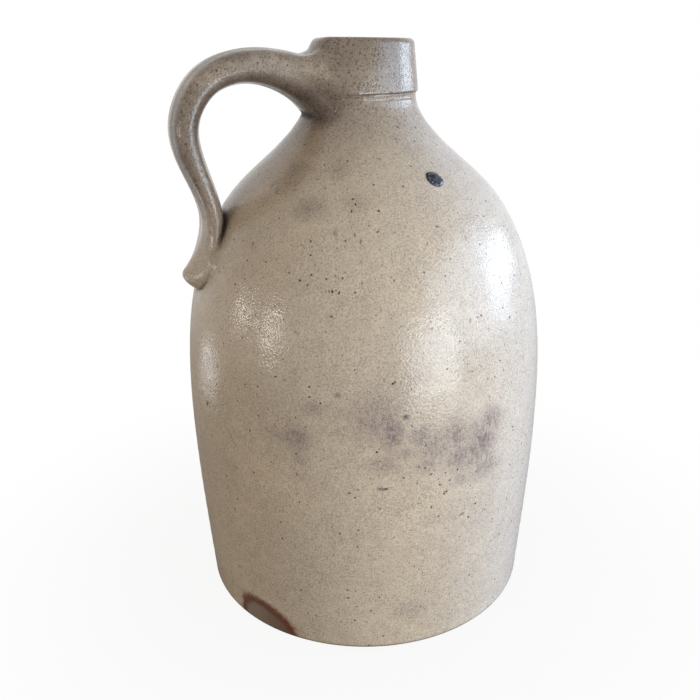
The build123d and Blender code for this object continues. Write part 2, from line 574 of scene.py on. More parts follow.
    def wiping(self, points: Array) -> Array:
        """Say how far from the crease between strap and pot the clay was wiped.

        Args:
            points: XYZ points near the crease.

        Returns:
            The reach of the wiping at each point.
        """
        along, outward, across, past = self.local(points)
        half_width, half_thickness = self.halves(along)
        share = along / self.along[-1]
        side = smooth(np.abs(across) / half_width, 0.35, 0.9)
        root = (self.wipe_top + (self.wipe_root - self.wipe_top) * side) * (1.0 - smooth(share, 0.2, 0.4))
        root = root * smooth(self.pot.rim - points[:, 2], 0.0, 9.0)
        tail = self.wipe_tail * smooth(share, 0.83, 0.9)
        tail = tail * (1.0 - smooth(past + along - self.along[-1], -22.0, -2.0))
        level = outward / half_thickness
        tail = tail * smooth(level, -0.9, -0.2) * (1.0 - smooth(level, 0.2, 0.9))
        return self.wipe_under + root * smooth(level, -0.5, 0.3) + tail

    def grid(self, columns: int, spacing: float) -> Array:
        """Cover the strap with points.

        Args:
            columns: how many points round.
            spacing: distance between rows.

        Returns:
            The points as rows along the strap, columns round it and XYZ.
        """
        line = evenly(self.line, spacing)
        along = lengths_along(line)
        ahead = directions_of(line)
        half_width, half_thickness = self.halves(along)
        turn = -2.0 * pi * np.arange(columns) / columns
        power = 2.0 / self.power(along)[:, None]
        across = np.sign(np.cos(turn)) * np.abs(np.cos(turn)) ** power * half_width[:, None]
        outward = np.sign(np.sin(turn)) * np.abs(np.sin(turn)) ** power * half_thickness[:, None]
        radius = line[:, :1] - outward * ahead[:, 1:]
        height = line[:, 1:] + outward * ahead[:, :1]
        return np.stack([-radius, across, height], axis=-1)


Measure = Callable[[Array], Array]


def wiped(grid: Array, outward: Array, own: Measure, other: Measure, reach: Measure) -> Array:
    """Move the points of one form out on to the clay wiped across its crease with another form.

    Args:
        grid: points of the form, as rows, columns and XYZ.
        outward: direction in which each point may move.
        own: distance from the form itself.
        other: distance from the form that it meets.
        reach: how far from the crease the clay was wiped.

    Returns:
        The moved points. Past the middle of the crease they dip under the other form's own wiped skin.
    """
    dip = 0.25
    outward = outward.reshape(-1, 3)
    points = grid.reshape(-1, 3)
    start = other(points)
    near = np.flatnonzero((start < reach(points)) & (start > -reach(points)))
    base, ahead, start = points[near], outward[near], start[near]
    rest = own(base)
    low = np.zeros(len(near))
    most = 0.5 * reach(base)
    high = most.copy()
    for _ in range(14):
        middle = 0.5 * (low + high)
        here = base + middle[:, None] * ahead
        mine, theirs, soft = own(here) - rest, other(here), reach(here)
        joined = np.minimum(mine, theirs) - np.maximum(soft - np.abs(mine - theirs), 0.0) ** 2 / (4.0 * soft)
        inside = joined + dip * np.maximum(mine - theirs, 0.0) < 0.0
        low = np.where(inside, middle, low)
        high = np.where(inside, high, middle)
    moved = points.copy()
    lift = np.minimum(low, np.clip(most + np.minimum(start, 0.0), 0.0, None))
    moved[near] = base + lift[:, None] * ahead
    moved[:, 2] = np.minimum(moved[:, 2], top_of("collar"))
    return moved.reshape(grid.shape)


# Node graphs and the effects that the finishes share.


Socket = bpy.types.NodeSocket
Feed = float | tuple[float, ...] | Socket
Feeds = dict[str | int, Feed]


class NodeGraph:
    """Short way to write the nodes of a material, world or group."""

    def __init__(self, tree: bpy.types.NodeTree) -> None:
        """Write into a node tree."""
        self.tree = tree

    def node(self, kind: str, feeds: Feeds | None = None, **settings: object) -> bpy.types.Node:
        """Add a node.

        Args:
            kind: the node's type name, without the "ShaderNode" that they share.
            feeds: a value or another node's output for each named or numbered input.
            settings: the node's own properties.

        Returns:
            The new node.
        """
        made = self.tree.nodes.new("ShaderNode" + kind)
        for name, setting in settings.items():
            setattr(made, name, setting)
        for name, feed in (feeds or {}).items():
            self.feed(made.inputs[name], feed)
        return made

    def feed(self, socket: Socket, feed: Feed) -> None:
        """Link an output to a socket, or set the socket's own value.

        Args:
            socket: the input to feed.
            feed: another node's output, or a value; a colour may leave out its alpha.
        """
        if isinstance(feed, bpy.types.NodeSocket):
            self.tree.links.new(feed, socket)
        elif isinstance(feed, tuple) and socket.type == "RGBA" and len(feed) == 3:
            socket.default_value = (*feed, 1.0)
        else:
            socket.default_value = feed

    def end(self, shader: bpy.types.Node, kind: str = "OutputMaterial") -> None:
        """Link a shader to the tree's own output."""
        self.tree.links.new(shader.outputs[0], self.node(kind).inputs[0])

    def math(self, operation: str, *feeds: Feed) -> Socket:
        """Result of an arithmetic node."""
        return self.node("Math", dict(enumerate(feeds)), operation=operation).outputs[0]

    def times(self, first: Feed, second: Feed) -> Socket:
        """Product of two numbers."""
        return self.math("MULTIPLY", first, second)

    def over(self, first: Feed, second: Feed) -> Socket:
        """First number divided by the second."""
        return self.math("DIVIDE", first, second)

    def plus(self, first: Feed, second: Feed) -> Socket:
        """Sum of two numbers."""
        return self.math("ADD", first, second)

    def minus(self, first: Feed, second: Feed) -> Socket:
        """First number less the second."""
        return self.math("SUBTRACT", first, second)

    def larger(self, first: Feed, second: Feed) -> Socket:
        """The larger of two numbers."""
        return self.math("MAXIMUM", first, second)

    def vector(self, operation: str, first: Feed, second: Feed = (0.0, 0.0, 0.0)) -> Socket:
        """Add a vector node.

        Args:
            operation: what it does.
            first: the vector.
            second: the other vector, or a number for SCALE.

        Returns:
            A number for LENGTH, otherwise a vector.
        """
        slot = "Scale" if operation == "SCALE" else 1
        made = self.node("VectorMath", {0: first, slot: second}, operation=operation)
        return made.outputs["Value" if operation == "LENGTH" else "Vector"]

    def ramp(self, value: Feed, low: float, high: float, bottom: float = 0.0, top: float = 1.0) -> Socket:
        """Value carried smoothly from one range to another and held at its ends."""
        feeds = {"Value": value, "From Min": low, "From Max": high, "To Min": bottom, "To Max": top}
        return self.node("MapRange", feeds, interpolation_type="SMOOTHSTEP").outputs[0]

    def mix(self, share: Feed, first: Feed, second: Feed, blend: str = "MIX") -> Socket:
        """Mix two colours.

        Args:
            share: how much of the second colour is taken.
            first: the colour at a share of 0.
            second: the colour at a share of 1.
            blend: how the second is laid on the first.

        Returns:
            The mixed colour.
        """
        made = self.node("Mix", data_type="RGBA", blend_type=blend, clamp_factor=True)
        self.feed(made.inputs[0], share)
        self.feed(made.inputs[6], first)
        self.feed(made.inputs[7], second)
        return made.outputs[2]

    def noise(self, vector: Socket, scale: Feed, detail: float = 2.0, roughness: float = 0.5) -> Socket:
        """Soft noise from 0 to 1 over a vector."""
        feeds = {"Vector": vector, "Scale": scale, "Detail": detail, "Roughness": roughness}
        return self.node("TexNoise", feeds).outputs[0]

    def object_place(self) -> Socket:
        """Place on the object, in metres."""
        return self.node("TexCoord").outputs["Object"]

    def bump(self, height: Socket, depth: float, strength: float = 1.0) -> Socket:
        """Normal of a bumpy skin, where a height of 1 stands for a depth in millimetres."""
        feeds = {"Height": height, "Strength": strength, "Distance": depth * MM}
        return self.node("Bump", feeds).outputs[0]

    def stored(self, name: str) -> Socket:
        """Number stored on the mesh's points under a name."""
        return self.node("Attribute", attribute_name=name).outputs["Fac"]


class Effect:
    """Shader node group that is built once and then placed in materials with their own values."""

    title: str
    inputs: dict[str, float | tuple[float, float, float]]
    outputs: dict[str, str]

    def lay(self, graph: NodeGraph, source: bpy.types.Node) -> dict[str, Socket]:
        """Write the group's nodes.

        Args:
            graph: the group's own graph.
            source: the node whose outputs are the group's inputs.

        Returns:
            What each of the group's outputs takes.
        """
        raise NotImplementedError

    def group(self) -> bpy.types.NodeTree:
        """Build the group at its first use.

        Returns:
            The group.
        """
        known = bpy.data.node_groups.get(self.title)
        if known:
            return known
        tree = bpy.data.node_groups.new(self.title, "ShaderNodeTree")
        for name, value in self.inputs.items():
            kind = "NodeSocketFloat" if isinstance(value, float) else "NodeSocketVector"
            tree.interface.new_socket(name=name, in_out="INPUT", socket_type=kind).default_value = value
        for name, kind in self.outputs.items():
            tree.interface.new_socket(name=name, in_out="OUTPUT", socket_type="NodeSocket" + kind)
        graph = NodeGraph(tree)
        source = tree.nodes.new("NodeGroupInput")
        result = tree.nodes.new("NodeGroupOutput")
        for name, socket in self.lay(graph, source).items():
            tree.links.new(socket, result.inputs[name])
        return tree

    def place(self, graph: NodeGraph, **feeds: Feed) -> bpy.types.Node:
        """Put the group into a material.

        Args:
            graph: the material's nodes.
            feeds: a value or an output for each of the group's inputs, named in lower case.

        Returns:
            The placed node.
        """
        made = graph.tree.nodes.new("ShaderNodeGroup")
        made.node_tree = self.group()
        for name, feed in feeds.items():
            graph.feed(made.inputs[name.replace("_", " ").capitalize()], feed)
        return made


class PotPlace(Effect):
    """Where a point lies on the pot: millimetres round it at the belly, height and distance from the axis."""

    title = "place on the pot"
    inputs = {}
    outputs = {"Place": "Vector", "Height": "Float", "Radius": "Float"}
    girth = 87.0

    def lay(self, graph: NodeGraph, source: bpy.types.Node) -> dict[str, Socket]:
        """Turn the object's XYZ into a place on the pot.

        Args:
            graph: the group's own graph.
            source: not used.

        Returns:
            What each of the group's outputs takes.
        """
        spot = graph.vector("MULTIPLY", graph.object_place(), (1.0 / MM, 1.0 / MM, 1.0 / MM))
        parts = graph.node("SeparateXYZ", {0: spot}).outputs
        bearing = graph.math("ARCTAN2", parts["X"], graph.times(parts["Y"], -1.0))
        across = graph.times(bearing, self.girth)
        place = graph.node("CombineXYZ", {0: across, 1: parts["Z"]}).outputs[0]
        radius = graph.vector("LENGTH", graph.vector("MULTIPLY", spot, (1.0, 1.0, 0.0)))
        return {"Place": place, "Height": parts["Z"], "Radius": radius}


class Mottle(Effect):
    """Cloudy unevenness of a fired surface."""

    title = "fired mottle"
    inputs = {"Scale": 20.0, "Contrast": 0.2}
    outputs = {"Tone": "Float"}

    def lay(self, graph: NodeGraph, source: bpy.types.Node) -> dict[str, Socket]:
        """Noise spread about its middle.

        Args:
            graph: the group's own graph.
            source: the node whose outputs are the group's inputs.

        Returns:
            What each of the group's outputs takes.
        """
        cloud = graph.noise(graph.object_place(), source.outputs["Scale"], 4.0, 0.6)
        low = graph.minus(0.5, source.outputs["Contrast"])
        high = graph.plus(0.5, source.outputs["Contrast"])
        tone = graph.node("MapRange", {"Value": cloud, "From Min": low, "From Max": high}).outputs[0]
        return {"Tone": tone}


class IronSpecks(Effect):
    """Dark specks where iron in the clay bled through, each its own size, and missing from some cells."""

    title = "iron specks"
    inputs = {"Scale": 500.0, "Size": 0.3, "Share": 0.3}
    outputs = {"Mask": "Float"}
    warp_scale = 900.0
    warp_reach = 0.9

    def lay(self, graph: NodeGraph, source: bpy.types.Node) -> dict[str, Socket]:
        """Round dots about the points of a cell pattern.

        Args:
            graph: the group's own graph.
            source: the node whose outputs are the group's inputs.

        Returns:
            What each of the group's outputs takes.
        """
        spot = graph.object_place()
        feeds = {"Vector": spot, "Scale": self.warp_scale, "Detail": 1.0}
        warp = graph.vector("SUBTRACT", graph.node("TexNoise", feeds).outputs["Color"], (0.5, 0.5, 0.5))
        shift = graph.vector("SCALE", warp, self.warp_reach * MM)
        spot = graph.vector("ADD", spot, shift)
        cells = graph.node("TexVoronoi", {"Vector": spot, "Scale": source.outputs["Scale"]})
        lot = graph.node("SeparateColor", {0: cells.outputs["Color"]}).outputs
        size = graph.times(source.outputs["Size"], graph.ramp(lot[1], 0.0, 1.0, 0.45, 1.0))
        edge = graph.over(cells.outputs["Distance"], size)
        dot = graph.ramp(edge, 1.0, 0.55)
        here = graph.math("LESS_THAN", lot[0], source.outputs["Share"])
        return {"Mask": graph.times(dot, here)}


class OrangePeel(Effect):
    """Pebbled skin of a glaze, as a height."""

    title = "orange peel"
    inputs = {"Scale": 600.0}
    outputs = {"Height": "Float"}

    def lay(self, graph: NodeGraph, source: bpy.types.Node) -> dict[str, Socket]:
        """Rounded cells on a wider swell.

        Args:
            graph: the group's own graph.
            source: the node whose outputs are the group's inputs.

        Returns:
            What each of the group's outputs takes.
        """
        spot = graph.object_place()
        scale = source.outputs["Scale"]
        cells = graph.node("TexVoronoi", {"Vector": spot, "Scale": scale}, feature="SMOOTH_F1")
        graph.feed(cells.inputs["Smoothness"], 0.3)
        wide = graph.noise(spot, graph.times(scale, 0.45), 1.0)
        bumps = graph.times(cells.outputs["Distance"], -0.8)
        return {"Height": graph.plus(bumps, graph.times(wide, 0.5))}


class Patch(Effect):
    """One blot at a place on the pot, with a ragged edge."""

    title = "patch on the pot"
    inputs = {
        "Place": (0.0, 0.0, 0.0),
        "Centre": (0.0, 0.0, 0.0),
        "Size": (1.0, 1.0, 1.0),
        "Tilt": 0.0,
        "Ragged": 0.0,
        "Soft": 0.4,
    }
    outputs = {"Mask": "Float", "Edge": "Float"}

    def lay(self, graph: NodeGraph, source: bpy.types.Node) -> dict[str, Socket]:
        """Distance from the centre in half sizes: 1 at the edge.

        Args:
            graph: the group's own graph.
            source: the node whose outputs are the group's inputs.

        Returns:
            What each of the group's outputs takes.
        """
        take = source.outputs
        offset = graph.vector("SUBTRACT", take["Place"], take["Centre"])
        turned = graph.node("VectorRotate", {"Vector": offset, "Angle": take["Tilt"]}, rotation_type="Z_AXIS")
        away = graph.vector("LENGTH", graph.vector("DIVIDE", turned.outputs[0], take["Size"]))
        edge = graph.plus(away, take["Ragged"])
        inner = graph.minus(1.0, take["Soft"])
        feeds = {"Value": edge, "From Min": inner, "From Max": 1.0, "To Min": 1.0, "To Max": 0.0}
        mask = graph.node("MapRange", feeds, interpolation_type="SMOOTHSTEP").outputs[0]
        return {"Mask": mask, "Edge": edge}


class Blot(Enum):
    """What the marks on the glaze are made of."""

    FLASH = "grey-violet flashing of the fire"
    IRON = "black iron spot"
    SMOKE = "brown smoke stain"
    RUBBED = "smoked clay rubbed pale"
    PIT = "burst blister"
    GREY = "grey smear"
    RUST = "rusty stain"

    def softness(self) -> float:
        """Share of a mark's half size over which its edge fades."""
        return 1.0 if self in (Blot.FLASH, Blot.SMOKE, Blot.RUBBED) else 0.6


@dataclass(frozen=True)
class Mark:
    """A mark on the pot at a bearing and a height, with its half sizes across and up."""

    bearing: float
    height: float
    across: float
    up: float
    strength: float = 1.0
    tilt: float = 0.0
    ragged: float = 0.5

    def mask(self, graph: NodeGraph, place: Socket, noise: Socket, soft: float) -> Socket:
        """Place this mark on the pot.

        Args:
            graph: the material's nodes.
            place: place on the pot, in millimetres.
            noise: noise about zero that breaks the edge.
            soft: share of the half size over which the edge fades.

        Returns:
            The mark's mask.
        """
        node = Patch().place(
            graph,
            place=place,
            centre=(radians(self.bearing) * PotPlace.girth, self.height, 0.0),
            size=(self.across, self.up, 1.0),
            tilt=radians(self.tilt),
            ragged=graph.times(noise, self.ragged),
            soft=soft,
        )
        return graph.times(node.outputs["Mask"], self.strength)


MARKS: dict[Blot, tuple[Mark, ...]] = {
    Blot.FLASH: (
        Mark(-38.5, 116.0, 10.0, 11.0, 0.75),
        Mark(-44.5, 116.0, 10.0, 7.0, 0.35),
        Mark(-37.0, 106.0, 5.0, 5.0, 0.45),
        Mark(-33.5, 130.5, 7.0, 5.0, 0.5),
        Mark(-15.5, 126.5, 19.0, 18.0, 0.65),
        Mark(-11.5, 120.0, 9.0, 14.0, 1.0),
        Mark(-3.0, 117.0, 8.0, 9.0, 0.75),
        Mark(-8.0, 110.0, 9.0, 6.0, 0.5),
        Mark(-13.5, 105.5, 12.0, 8.0, 0.5),
        Mark(-1.0, 102.5, 9.0, 8.0, 0.5),
        Mark(16.5, 107.0, 17.0, 21.0, 1.0, tilt=12.0),
        Mark(7.5, 115.0, 11.0, 14.0, 0.75),
        Mark(9.0, 104.0, 12.0, 12.0, 0.75),
        Mark(19.0, 94.5, 14.0, 12.0, 0.7),
        Mark(9.5, 91.5, 6.0, 6.0, 0.5),
        Mark(1.0, 110.5, 14.0, 13.0, 0.6),
        Mark(20.0, 116.0, 13.0, 12.0, 0.9),
        Mark(-5.0, 23.0, 14.0, 9.0, 0.4),
    ),
    Blot.SMOKE: (
        Mark(-48.0, 237.0, 22.0, 10.0, 0.5),
        Mark(-56.0, 223.0, 24.0, 12.0, 0.5),
        Mark(-31.0, 226.0, 15.0, 8.0, 0.5),
        Mark(-40.0, 211.0, 20.0, 7.0, 0.55),
        Mark(-22.0, 214.0, 14.0, 6.0, 0.4),
    ),
    Blot.RUBBED: (
        Mark(-66.0, 264.0, 50.0, 12.0, 0.65),
    ),
    Blot.PIT: (
        Mark(-64.5, 217.5, 1.7, 1.5, ragged=0.3),
        Mark(-59.5, 195.5, 1.1, 1.0, ragged=0.3),
    ),
    Blot.GREY: (
        Mark(-26.0, 137.5, 1.9, 1.7, 0.7, ragged=1.6),
        Mark(-7.5, 127.0, 2.0, 1.3, 0.8, ragged=2.6),
        Mark(-14.0, 93.0, 3.0, 1.1, 0.8, tilt=8.0, ragged=1.2),
        Mark(11.0, 72.0, 2.0, 1.1, 0.7, tilt=-15.0, ragged=1.2),
        Mark(-62.0, 108.0, 0.6, 7.5, 0.45, tilt=-40.0, ragged=1.2),
        Mark(-21.5, 202.0, 0.7, 1.4, 0.8, tilt=-20.0),
        Mark(-19.5, 199.5, 0.8, 1.5, 0.8, tilt=15.0),
        Mark(-28.5, 202.5, 2.2, 1.3, 0.5, tilt=30.0, ragged=1.6),
        Mark(26.0, 138.0, 0.6, 1.0, 0.7),
        Mark(27.0, 149.5, 0.6, 0.8, 0.7),
        Mark(-60.0, 216.0, 1.6, 1.2, 0.5),
    ),
    Blot.IRON: (
        Mark(-7.5, 127.5, 0.8, 0.6, ragged=1.0),
        Mark(-13.0, 93.0, 1.2, 0.5, tilt=8.0, ragged=0.8),
        Mark(13.5, 69.0, 0.6, 0.9, tilt=-20.0),
        Mark(-11.0, 142.5, 0.8, 0.8),
        Mark(-15.5, 111.5, 0.7, 0.7),
        Mark(-34.0, 140.5, 0.6, 0.6),
        Mark(-34.0, 136.0, 0.6, 0.6),
        Mark(6.0, 92.5, 0.6, 0.6),
        Mark(8.5, 97.0, 0.6, 0.6),
        Mark(-74.0, 117.5, 1.3, 1.8, tilt=20.0),
        Mark(-21.5, 213.0, 0.9, 0.6),
        Mark(-23.0, 210.5, 0.9, 0.6, tilt=30.0),
        Mark(-12.5, 210.5, 0.9, 0.6),
        Mark(-36.0, 194.0, 0.7, 0.6),
        Mark(-35.0, 186.5, 0.7, 0.6),
        Mark(-38.5, 184.0, 0.8, 0.7),
        Mark(-30.0, 180.5, 0.5, 0.5, 0.8),
        Mark(-29.0, 180.5, 0.6, 0.6, 0.9),
        Mark(-28.0, 180.5, 0.7, 0.9),
        Mark(-27.0, 181.0, 0.6, 0.4, 0.9),
        Mark(-26.0, 180.0, 0.6, 1.0, tilt=30.0),
        Mark(-58.0, 244.5, 1.0, 0.7, 0.8),
    ),
    Blot.RUST: (
        Mark(14.0, 164.5, 0.8, 1.8, 0.8, tilt=12.0),
        Mark(19.0, 137.0, 1.1, 0.9, 0.7),
    ),
}


def srgb(red: int, green: int, blue: int) -> Colour:
    """Linear colour of a screen colour from 0 to 255."""
    levels = (red / 255.0, green / 255.0, blue / 255.0)
    return tuple(v / 12.92 if v <= 0.04045 else ((v + 0.055) / 1.055) ** 2.4 for v in levels)


# Finishes. A ramp is given by the values where it starts and ends, and by what it turns them into.


Ramp = tuple[float, float, float, float]
Outputs = bpy.types.NodeOutputs


def blank(name: str) -> tuple[bpy.types.Material, NodeGraph]:
    """Make a material without nodes.

    Args:
        name: the material's name.

    Returns:
        The material and the graph that writes its nodes.
    """
    made = bpy.data.materials.new(name)
    made.use_nodes = True
    made.node_tree.nodes.clear()
    return made, NodeGraph(made.node_tree)


def glazed(graph: NodeGraph, colour: Socket, rough: Socket, normal: Socket, ior: float) -> None:
    """End a material with a glossy shader whose skin is bumpy.

    Args:
        graph: the material's nodes.
        colour: the colour over the surface.
        rough: the roughness over the surface.
        normal: the normal of the bumps.
        ior: how much the glaze bends light.
    """
    feeds = {"Base Color": colour, "Roughness": rough, "Normal": normal, "IOR": ior}
    graph.end(graph.node("BsdfPrincipled", feeds))


@dataclass(frozen=True)
class Clouding:
    """How a mottle clouds: its scale, in noise cells to a metre, and its contrast."""

    scale: float
    contrast: float

    def tone(self, graph: NodeGraph) -> Socket:
        """Tone of the mottle, from 0 to 1."""
        return Mottle().place(graph, scale=self.scale, contrast=self.contrast).outputs[0]


@dataclass(frozen=True)
class Specks:
    """How specks of one kind are strewn: cells in a metre, size and share of the cells, and strength."""

    scale: float
    size: float
    share: float
    strength: float

    def mask(self, graph: NodeGraph) -> Socket:
        """Mask of these specks."""
        node = IronSpecks().place(graph, scale=self.scale, size=self.size, share=self.share)
        return graph.times(node.outputs[0], self.strength)


@dataclass(frozen=True)
class SaltGlaze:
    """Tan salt glaze: mottled, pebbled and specked, taupe on collar and handle, scorched at the foot, with
    painted shade in the creases, under the handle's arch and along the foot's edge, and a cooler tint on the
    right that is partly its own and partly painted window light.
    """

    tan: Colour = srgb(194, 175, 152)
    grey_tan: Colour = srgb(177, 160, 141)
    # Cooler tan towards the right window: partly the glaze's own variation, partly painted window light.
    cool_tan_and_window_tint: Colour = srgb(189, 182, 179)
    taupe: Colour = srgb(105, 88, 75)
    # Umber of smoke and painted shade under the handle's arch.
    smoke_and_shade_umber: Colour = srgb(86, 70, 59)
    iron: Colour = srgb(66, 48, 37)
    pepper: Colour = srgb(108, 89, 72)
    flash: Colour = srgb(118, 103, 102)
    black: Colour = srgb(38, 32, 30)
    grey: Colour = srgb(104, 94, 88)
    rust: Colour = srgb(150, 104, 74)
    scorch: Colour = srgb(97, 51, 35)
    toasted: Colour = srgb(150, 108, 70)
    ash: Colour = srgb(124, 108, 94)
    burnt_ash: Colour = srgb(94, 72, 58)
    # Colour of the painted shade along the foot's bottom edge.
    foot_shade: Colour = srgb(62, 50, 41)
    clay: Colour = srgb(176, 150, 118)
    slip: Colour = srgb(58, 36, 25)
    # Colour of the painted shade in the creases and the tooled line.
    crease_shade: Colour = srgb(46, 34, 27)
    dulling: Colour = (0.7, 0.68, 0.66)
    broad_mottle: Clouding = Clouding(14.0, 0.22)
    smudges: Clouding = Clouding(45.0, 0.3)
    fine_mottle: Clouding = Clouding(150.0, 0.18)
    small_specks: Specks = Specks(720.0, 0.34, 0.42, 0.45)
    large_specks: Specks = Specks(300.0, 0.22, 0.42, 0.9)
    smoky_specks: Specks = Specks(760.0, 0.6, 0.7, 0.68)
    fleck_scale: float = 1450.0
    fleck_size: float = 0.58
    fleck_share: float = 0.45
    flash_crowding: float = 0.5
    smoke_crowding: float = 0.2
    smoke_darkening: float = 0.3
    fleck_strength: Ramp = (0.0, 0.6, 0.5, 0.8)
    ragged_scale: float = 330.0
    crumb_scale: float = 1100.0
    streak_scale: float = 560.0
    streak_stretch: tuple[float, float, float] = (1.0, 1.0, 0.5)
    streaks: Ramp = (0.35, 0.65, 0.45, 1.15)
    flash_share: float = 0.95
    window_side_cooling: Ramp = (-0.1, 0.8, 0.0, 0.6)
    smoke_rise: Ramp = (215.0, 268.0, 0.0, 0.95)
    strap_smoke: Ramp = (178.0, 232.0, 0.15, 0.95)
    smoke_patches: Ramp = (0.0, 1.0, 0.6, 1.0)
    wisp_strength: float = 0.8
    arch_smoke_and_shade_rise: Ramp = (226.0, 246.0, 0.0, 0.75)
    fine_dulling: Ramp = (0.0, 1.0, 0.0, 0.26)
    smudge_dulling: Ramp = (0.35, 1.0, 0.0, 0.22)
    grain_scale: float = 1250.0
    grain: Ramp = (0.3, 0.7, 0.74, 1.2)
    grain_patches: Ramp = (0.0, 1.0, 0.45, 1.0)
    roughness: Ramp = (0.0, 1.0, 0.14, 0.24)
    bare_and_crease_dulling: float = 0.45
    ior: float = 1.45
    peel_scale: float = 900.0
    peel_depth: float = 0.1
    pebble_scale: float = 1500.0
    pebble_height: float = 0.3
    mottle_height: float = 0.5
    speck_dent: float = 0.5
    pit_dent: float = 4.0
    pit_tint: float = 0.5
    line_height: float = 255.0
    line_wander: float = 0.8
    line_shade: Ramp = (0.55, 0.1, 0.0, 0.6)
    line_off_strap: tuple[float, float] = (0.6, 0.1)
    line_outside: tuple[float, float] = (22.0, 24.0)
    crease_shade_strength: float = 0.95
    bore_edge: tuple[float, float] = (15.2, 14.2)
    bore_top: tuple[float, float] = (277.5, 271.0)
    bore_bottom: tuple[float, float] = (150.0, 160.0)
    toasted_edge: Ramp = (1.2, 0.94, 0.0, 0.7)
    ash_edge: Ramp = (1.0, 0.86, 0.0, 0.85)
    ash_turn: tuple[float, float] = (-4.0, 16.0)
    ring_outer: tuple[float, float] = (1.14, 0.92)
    ring_inner: tuple[float, float] = (0.66, 0.9)
    ring_share: float = 0.95
    foot_shade_wander: float = 2.5
    foot_shade_rise: Ramp = (3.6, 1.0, 0.0, 0.65)
    bare_wander: float = 1.2
    foot_bare: tuple[float, float] = (1.4, 0.5)
    scorch_bearing: float = -57.5
    scorch_size: tuple[float, float] = (23.0, 16.5)
    scorch_side: float = 13.6
    scorch_ragged: float = 0.28
    scorch_rounding: float = 0.8

    def material(self) -> bpy.types.Material:
        """Build the glaze as a material.

        Returns:
            The material.
        """
        made, graph = blank("salt_glaze")
        where = PotPlace().place(graph).outputs
        spot = graph.object_place()
        strap = graph.stored("strap")
        fine = self.fine_mottle.tone(graph)
        colour, specks, smoked = self.ground(graph, where, strap, fine)
        noise = graph.minus(graph.noise(spot, self.ragged_scale, 3.0, 0.65), 0.5)
        colour = self.peppered(graph, where, noise, smoked, colour)
        crumbs = graph.minus(graph.noise(spot, self.crumb_scale, 3.0, 0.65), 0.5)
        for kind, tint in ((Blot.GREY, self.grey), (Blot.RUST, self.rust), (Blot.IRON, self.black)):
            colour = graph.mix(self.blots(graph, kind, where, crumbs), colour, tint)
        pits = self.blots(graph, Blot.PIT, where, crumbs)
        colour = graph.mix(graph.times(pits, self.pit_tint), colour, self.pepper)
        colour, bare = self.foot(graph, where, noise, colour)
        # Painted shade: the crease under the handle and the tooled line under the band are darkened.
        painted_shade = self.painted_crease_shade(graph, where, strap, noise)
        colour = graph.mix(painted_shade, colour, self.crease_shade)
        inside = graph.ramp(where["Radius"], *self.bore_edge)
        for ends in (self.bore_bottom, self.bore_top):
            inside = graph.times(inside, graph.ramp(where["Height"], *ends))
        colour = graph.mix(inside, colour, self.slip)
        rough = graph.ramp(fine, *self.roughness)
        rough = graph.plus(rough, graph.times(graph.larger(bare, painted_shade), self.bare_and_crease_dulling))
        height = OrangePeel().place(graph, scale=self.peel_scale).outputs[0]
        height = graph.minus(height, graph.times(specks, self.speck_dent))
        height = graph.plus(height, graph.times(fine, self.mottle_height))
        pebbles = graph.noise(spot, self.pebble_scale, 1.0)
        height = graph.plus(height, graph.times(pebbles, self.pebble_height))
        height = graph.minus(height, graph.times(pits, self.pit_dent))
        glazed(graph, colour, rough, graph.bump(height, self.peel_depth), self.ior)
        return made

    def ground(self, graph: NodeGraph, where: Outputs, strap: Socket, fine: Socket) -> tuple[Socket, ...]:
        """Mottled ground with its iron specks, a cooler tint towards the right window that is partly painted
        window light, and painted shade with smoke under the handle's arch.

        Args:
            graph: the material's nodes.
            where: outputs that give the place on the pot.
            strap: mask of the handle and the clay wiped from it.
            fine: fine mottle.

        Returns:
            The colour, the mask of the specks and the mask of the smoked clay.
        """
        smudge = self.smudges.tone(graph)
        colour = graph.mix(self.broad_mottle.tone(graph), self.tan, self.grey_tan)
        # A cooler tan on the side towards the right window: partly the glaze's own variation, partly painted
        # window light.
        round_pot = graph.node("SeparateXYZ", {0: where["Place"]}).outputs["X"]
        side = graph.math("SINE", graph.over(round_pot, PotPlace.girth))
        colour = graph.mix(graph.ramp(side, *self.window_side_cooling), colour, self.cool_tan_and_window_tint)
        high = graph.ramp(where["Height"], *self.smoke_rise)
        strap = graph.times(strap, graph.ramp(where["Height"], *self.strap_smoke))
        edges = graph.minus(fine, 0.5)
        wisps = graph.times(self.blots(graph, Blot.SMOKE, where, edges), self.wisp_strength)
        smoked = graph.larger(graph.larger(high, strap), wisps)
        smoked = graph.times(smoked, graph.minus(1.0, self.blots(graph, Blot.RUBBED, where, edges)))
        sooty = graph.times(smoked, graph.ramp(smudge, *self.smoke_patches))
        colour = graph.mix(sooty, colour, self.taupe)
        # Smoke and painted shade: the underside of the handle high on the arch is darkened to umber.
        shaded = graph.times(strap, graph.ramp(where["Height"], *self.arch_smoke_and_shade_rise))
        colour = graph.mix(graph.times(shaded, graph.stored("shaded_underside")), colour, self.smoke_and_shade_umber)
        dull = graph.plus(graph.ramp(fine, *self.fine_dulling), graph.ramp(smudge, *self.smudge_dulling))
        colour = graph.mix(dull, colour, graph.mix(1.0, colour, self.dulling, "MULTIPLY"))
        grain = graph.noise(graph.object_place(), self.grain_scale, 2.0, 0.7)
        grainy = graph.vector("SCALE", colour, graph.ramp(grain, *self.grain))
        colour = graph.mix(graph.ramp(smudge, *self.grain_patches), colour, grainy)
        specks = graph.larger(self.small_specks.mask(graph), self.large_specks.mask(graph))
        specks = graph.larger(specks, graph.times(self.smoky_specks.mask(graph), smoked))
        return graph.mix(specks, colour, self.iron), specks, smoked

    def blots(self, graph: NodeGraph, kind: Blot, where: Outputs, noise: Socket) -> Socket:
        """Mask of all the marks of one kind."""
        masks = [mark.mask(graph, where["Place"], noise, kind.softness()) for mark in MARKS[kind]]
        return reduce(graph.larger, masks)

